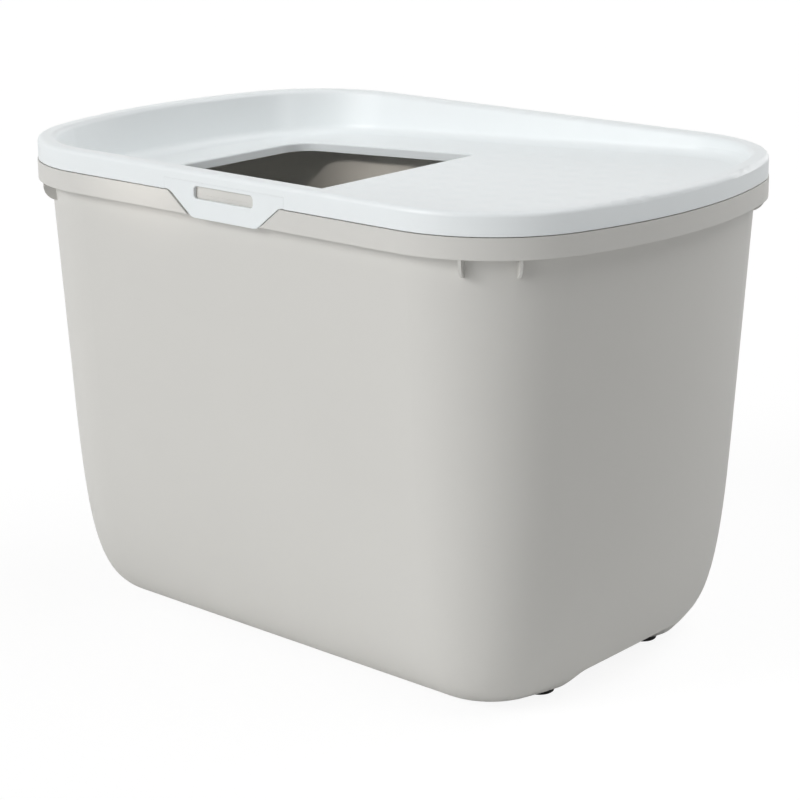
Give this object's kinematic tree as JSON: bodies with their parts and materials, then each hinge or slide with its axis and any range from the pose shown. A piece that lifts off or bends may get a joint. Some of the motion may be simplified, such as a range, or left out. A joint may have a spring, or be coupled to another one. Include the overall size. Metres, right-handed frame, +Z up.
{
  "type": "top entry litter box",
  "caption": "Deep bin with a lift-off lid; a cat climbs in through an opening in the sunken, padded deck of the lid, held by spring clips.",
  "frame": {"origin": "on the floor, under the middle of the box", "axes": "+X along the long side, away from the entry; +Y towards the back; +Z up"},
  "size_m": [0.5848, 0.39, 0.3965],
  "materials": {
    "bin_plastic": "satin",
    "lid_plastic": "satin",
    "foot_rubber": "matt"
  },
  "bodies": {
    "bin": {"bin": "bin_plastic", "foot_front_left": "foot_rubber", "foot_front_right": "foot_rubber", "foot_rear_left": "foot_rubber", "foot_rear_right": "foot_rubber"},
    "lid": {"lid": "lid_plastic"},
    "front_clip": {"front_clip": "lid_plastic"},
    "rear_clip": {"rear_clip": "lid_plastic"}
  },
  "joints": [
    {"name": "lid_lift", "type": "slide", "parent": "bin", "child": "lid", "axis": [0, 0, 1], "range_m": [0, 0.25]},
    {"name": "front_clip_flex", "type": "hinge", "parent": "lid", "child": "front_clip", "pos_m": [0, -0.1944, 0.388], "axis": [-1, 0, 0], "range_deg": [0, 10], "stiffness_Nm_per_rad": 1},
    {"name": "rear_clip_flex", "type": "hinge", "parent": "lid", "child": "rear_clip", "pos_m": [0, 0.1944, 0.388], "axis": [1, 0, 0], "range_deg": [0, 10], "stiffness_Nm_per_rad": 1}
  ]
}
